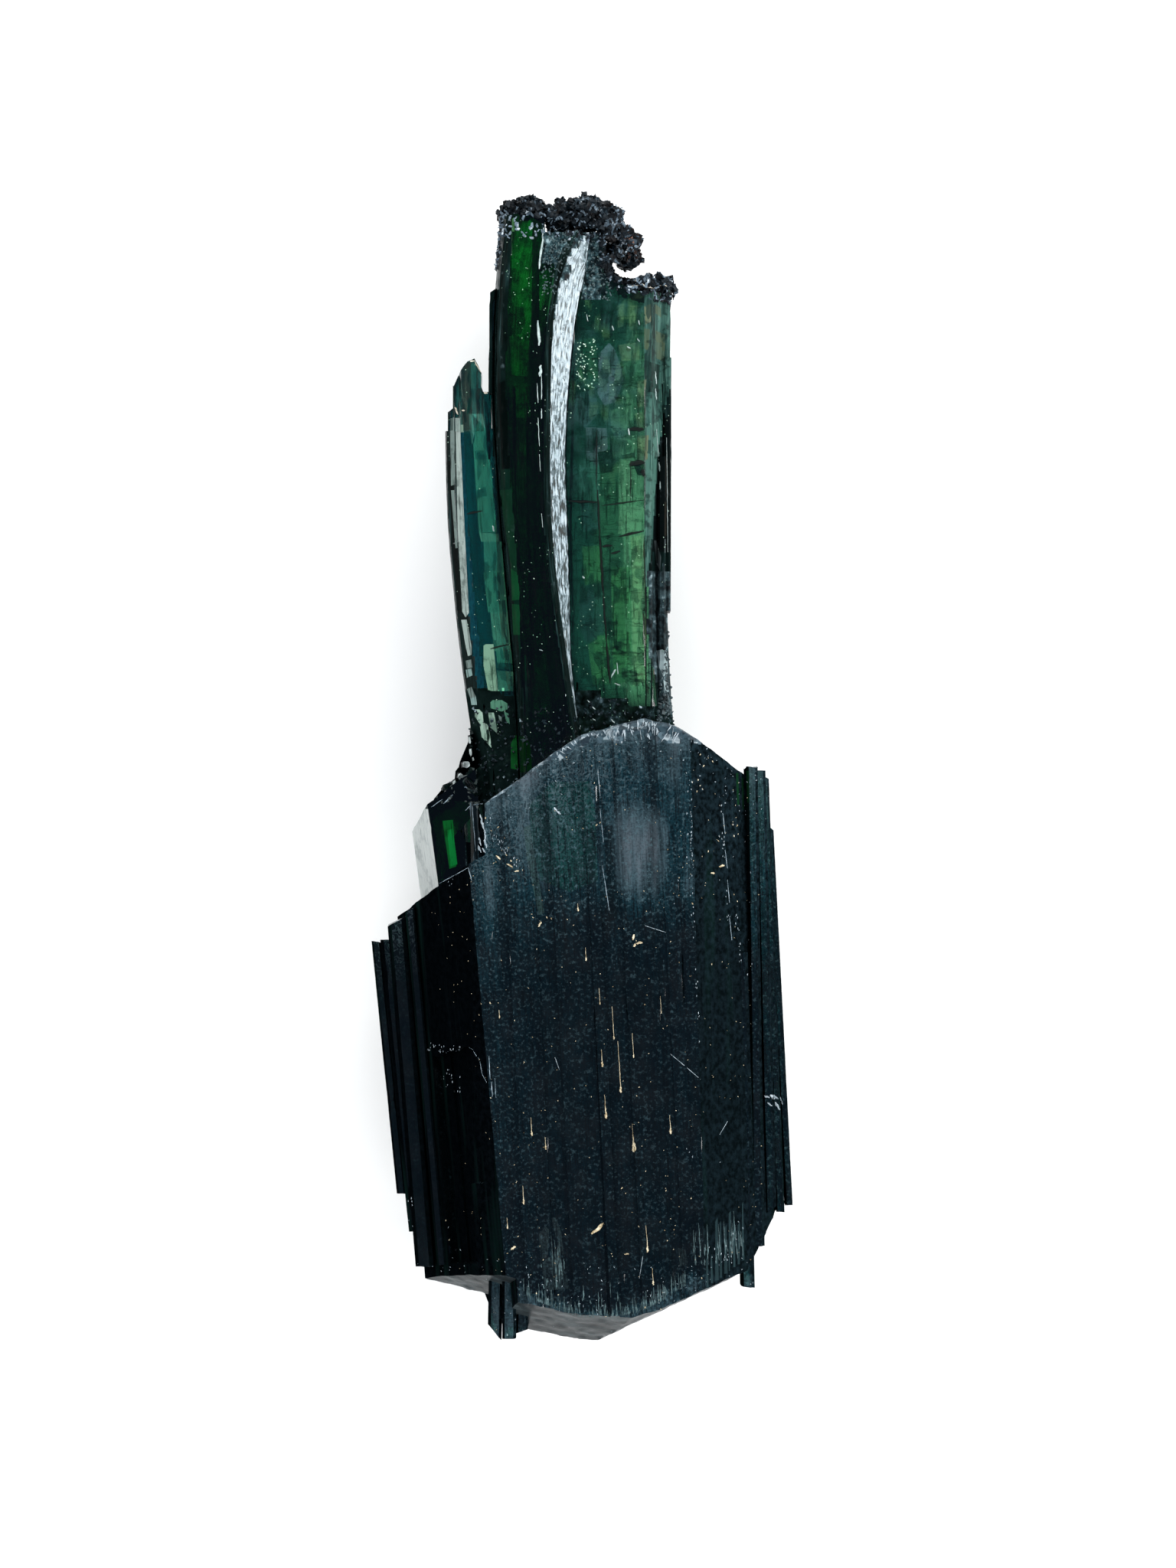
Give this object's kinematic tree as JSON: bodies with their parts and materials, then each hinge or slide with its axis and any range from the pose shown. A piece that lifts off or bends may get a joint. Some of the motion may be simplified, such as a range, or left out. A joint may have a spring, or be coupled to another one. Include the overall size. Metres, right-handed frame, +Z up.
{
  "type": "vivianite crystal",
  "caption": "Vivianite specimen: a thick, near-black doubly ended crystal with tall translucent green blades rising from behind one end, capped by a dark spongy crust.",
  "frame": {"origin": "centre of the specimen's bounding box, on the surface that its flat back face lies on", "axes": "+Y along the crystals, from the blunt lower end towards the crusted blade tips; +Z up, from the back face it lies on to the broad front face"},
  "size_m": [0.0372, 0.1008, 0.0206],
  "materials": {
    "crystal": "glassy",
    "crust": "rough"
  },
  "bodies": {
    "root": {"vivianite_crystals": "crystal", "matrix_crust": "crust"}
  },
  "joints": []
}
